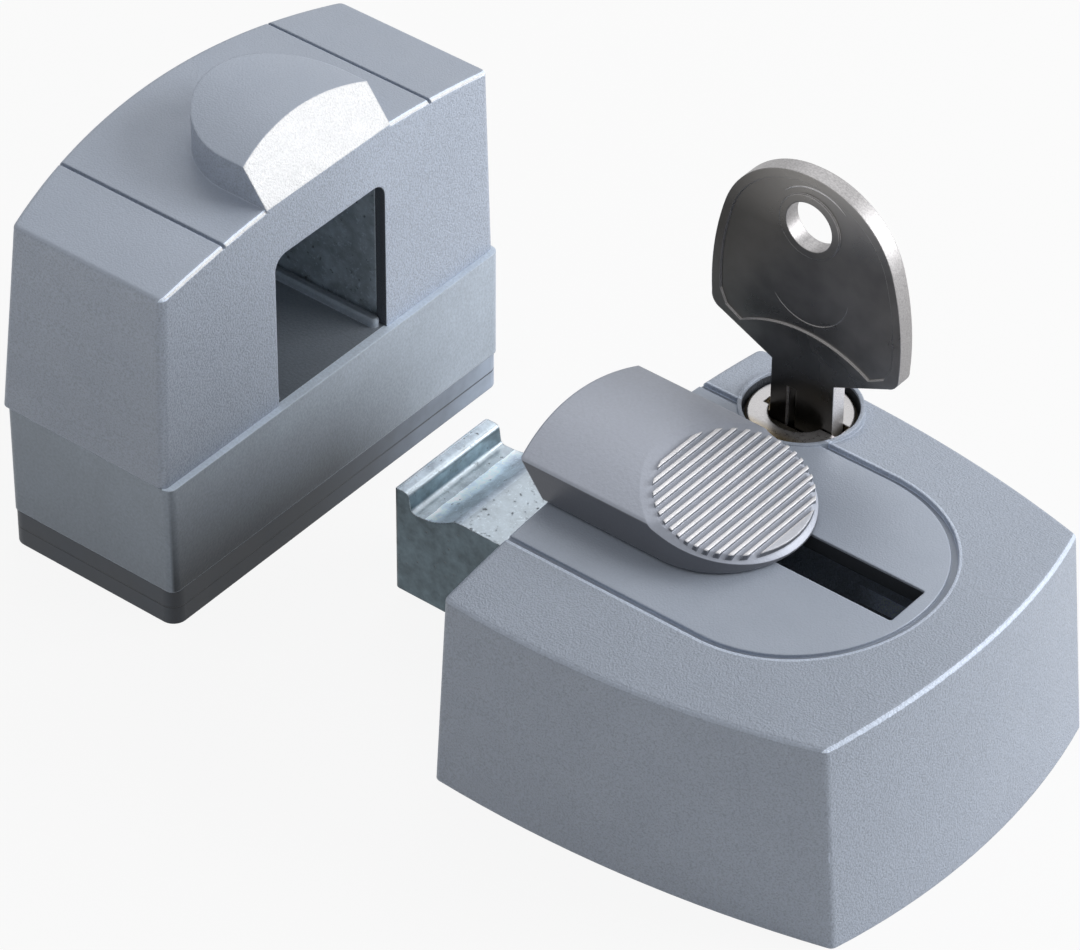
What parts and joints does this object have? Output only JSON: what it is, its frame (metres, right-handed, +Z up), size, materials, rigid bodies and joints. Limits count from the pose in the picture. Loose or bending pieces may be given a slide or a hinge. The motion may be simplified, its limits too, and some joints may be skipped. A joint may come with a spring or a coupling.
{
  "type": "rim lock",
  "caption": "Surface-mounted rim lock with thrown hooked bolt, ribbed thumb slide and key in its cylinder, and a cast keep on a riser and spacers.",
  "frame": {"origin": "centre of the lock's four fixing holes, on the surface the set is screwed to", "axes": "X along the bolt, keep at -X; Y sideways, the cylinder at +Y; Z up, away from the mounting surface"},
  "size_m": [0.1261, 0.0616, 0.0622],
  "materials": {
    "cast_case": "silver-grey satin, fine pebble texture",
    "satin_slide": "silver-grey satin, smooth",
    "riser_paint": "silver-grey satin, smooth",
    "zinc_plate": "zinc plated, faintly pitted",
    "spring_steel": "bare spring steel",
    "nickel": "bright nickel plate, worn",
    "brass": "plain brass",
    "slate": "dark slate moulding"
  },
  "bodies": {
    "lock": {"lock_case": "cast_case", "base_plate": "zinc_plate", "case_screws": "zinc_plate", "detent_spring": "spring_steel", "detent_rivet": "zinc_plate", "keep_case": "cast_case", "keep_bracket": "zinc_plate", "keep_screw": "zinc_plate", "riser_block": "riser_paint", "spacer_upper": "slate", "spacer_lower": "slate"},
    "bolt": {"bolt": "zinc_plate", "thumb_slide": "satin_slide", "slide_screw": "zinc_plate"},
    "plug": {"cylinder_plug": "nickel", "wafers": "brass", "wafer_springs": "spring_steel", "cam": "zinc_plate", "cam_washer": "zinc_plate", "cam_screw": "zinc_plate"},
    "key": {"key": "nickel"}
  },
  "joints": [
    {"name": "bolt_slide", "type": "slide", "parent": "lock", "child": "bolt", "axis": [1, 0, 0], "range_m": [0, 0.024], "deforming": ["detent_spring"]},
    {"name": "plug_turn", "type": "hinge", "parent": "lock", "child": "plug", "pos_m": [-0.0145, 0.0217, 0.018], "axis": [0, 0, 1], "range_deg": [-90, 0]},
    {"name": "key_pull", "type": "slide", "parent": "plug", "child": "key", "axis": [0, 0, 1], "range_m": [0, 0.03]}
  ]
}
